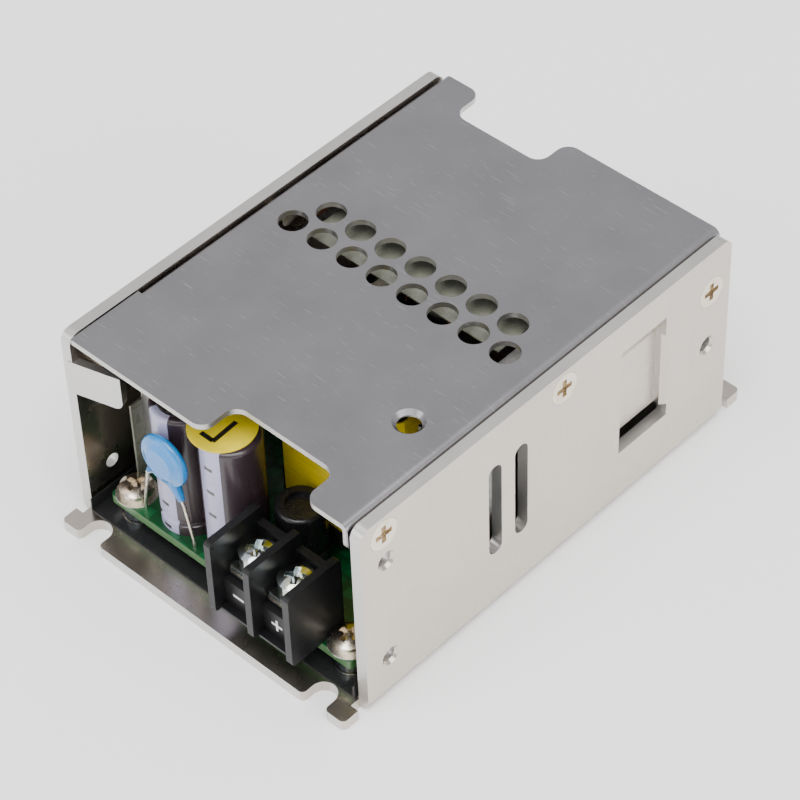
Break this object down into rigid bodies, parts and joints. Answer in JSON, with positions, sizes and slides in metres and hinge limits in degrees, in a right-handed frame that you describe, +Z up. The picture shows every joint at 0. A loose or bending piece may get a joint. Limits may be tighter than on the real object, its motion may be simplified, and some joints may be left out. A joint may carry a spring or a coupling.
{
  "type": "enclosed switching power supply",
  "caption": "Enclosed AC-DC supply: a folded sheet channel and vented cover over a circuit board, open at both ends round screw terminal blocks.",
  "frame": {"origin": "centre of the overall footprint on the underside", "axes": "+X across the width, +Y from the output end to the mains end, +Z up"},
  "size_m": [0.062, 0.093, 0.039],
  "materials": {
    "aluminium_sheet": "satin, as rolled",
    "cover_sheet": "satin grey",
    "nickel_screw": "bright nickel plate",
    "zinc_screw": "blue zinc plate",
    "zinc_plate": "zinc plate",
    "tinned_brass": "tinned",
    "tinned_wire": "tinned",
    "grey_film": "matt",
    "green_laminate": "solder mask",
    "black_moulding": "fine texture",
    "dark_sleeve": "shrunk film",
    "yellow_paper": "matt",
    "blue_epoxy": "dipped",
    "black_epoxy": "moulded",
    "ferrite": "sintered",
    "copper_wire": "enamelled",
    "yellow_tape": "polyester",
    "ceramic_tube": "smooth",
    "white_moulding": "satin"
  },
  "bodies": {
    "case": {"chassis": "aluminium_sheet", "top_cover": "cover_sheet", "cover_screws": "nickel_screw", "cover_film": "grey_film", "base_film": "grey_film", "circuit_board": "green_laminate", "board_standoffs": "zinc_plate", "board_screws": "nickel_screw", "output_terminal_block": "black_moulding", "output_contact_strips": "tinned_brass", "mains_terminal_block": "black_moulding", "mains_contact_strips": "tinned_brass", "output_capacitor_left": "dark_sleeve", "output_capacitor_right": "dark_sleeve", "inspection_sticker": "yellow_paper", "disc_capacitor": "blue_epoxy", "disc_capacitor_leads": "tinned_wire", "left_heat_sink": "aluminium_sheet", "left_insulating_pad": "grey_film", "power_transistor": "black_epoxy", "transistor_screw": "zinc_screw", "right_heat_sink": "aluminium_sheet", "output_rectifier": "black_epoxy", "rectifier_screw": "zinc_screw", "transformer_core": "ferrite", "transformer_bobbin": "black_moulding", "transformer_winding": "copper_wire", "transformer_belt": "yellow_tape", "output_inductor": "dark_sleeve", "bulk_capacitor": "dark_sleeve", "choke_core": "ferrite", "choke_windings": "copper_wire", "mains_filter_capacitor": "yellow_tape", "fuse": "ceramic_tube", "bridge_rectifier": "black_epoxy", "thermistor": "black_epoxy", "optocoupler": "white_moulding", "adjuster_body": "blue_epoxy"},
    "output_clamp_minus": {"output_clamp_minus": "zinc_plate"},
    "output_screw_minus": {"output_screw_minus": "zinc_screw"},
    "output_clamp_plus": {"output_clamp_plus": "zinc_plate"},
    "output_screw_plus": {"output_screw_plus": "zinc_screw"},
    "mains_clamp_live": {"mains_clamp_live": "zinc_plate"},
    "mains_screw_live": {"mains_screw_live": "zinc_screw"},
    "mains_clamp_neutral": {"mains_clamp_neutral": "zinc_plate"},
    "mains_screw_neutral": {"mains_screw_neutral": "zinc_screw"},
    "adjuster": {"adjuster_rotor": "white_moulding"}
  },
  "joints": [
    {"name": "output_clamp_minus_lift", "type": "slide", "parent": "case", "child": "output_clamp_minus", "axis": [0, 0, 1], "range_m": [0, 0.0018]},
    {"name": "output_screw_minus_turn", "type": "hinge", "parent": "output_clamp_minus", "child": "output_screw_minus", "pos_m": [0.0077, -0.0401, 0.0155], "axis": [0, 0, 1], "range_deg": [0, 1080]},
    {"name": "output_clamp_plus_lift", "type": "slide", "parent": "case", "child": "output_clamp_plus", "axis": [0, 0, 1], "range_m": [0, 0.0018]},
    {"name": "output_screw_plus_turn", "type": "hinge", "parent": "output_clamp_plus", "child": "output_screw_plus", "pos_m": [0.0158, -0.0401, 0.0155], "axis": [0, 0, 1], "range_deg": [0, 1080]},
    {"name": "mains_clamp_live_lift", "type": "slide", "parent": "case", "child": "mains_clamp_live", "axis": [0, 0, 1], "range_m": [0, 0.0018]},
    {"name": "mains_screw_live_turn", "type": "hinge", "parent": "mains_clamp_live", "child": "mains_screw_live", "pos_m": [-0.0069, 0.0401, 0.0155], "axis": [0, 0, 1], "range_deg": [0, 1080]},
    {"name": "mains_clamp_neutral_lift", "type": "slide", "parent": "case", "child": "mains_clamp_neutral", "axis": [0, 0, 1], "range_m": [0, 0.0018]},
    {"name": "mains_screw_neutral_turn", "type": "hinge", "parent": "mains_clamp_neutral", "child": "mains_screw_neutral", "pos_m": [-0.015, 0.0401, 0.0155], "axis": [0, 0, 1], "range_deg": [0, 1080]},
    {"name": "adjuster_turn", "type": "hinge", "parent": "case", "child": "adjuster", "pos_m": [0.0208, -0.0203, 0.0102], "axis": [0, 0, 1], "range_deg": [-130, 130]}
  ],
  "couplings": [
    {"joint": "output_screw_minus_turn", "follows": "output_clamp_minus_lift", "rad_per_m": 10470},
    {"joint": "output_screw_plus_turn", "follows": "output_clamp_plus_lift", "rad_per_m": 10470},
    {"joint": "mains_screw_live_turn", "follows": "mains_clamp_live_lift", "rad_per_m": 10470},
    {"joint": "mains_screw_neutral_turn", "follows": "mains_clamp_neutral_lift", "rad_per_m": 10470}
  ]
}
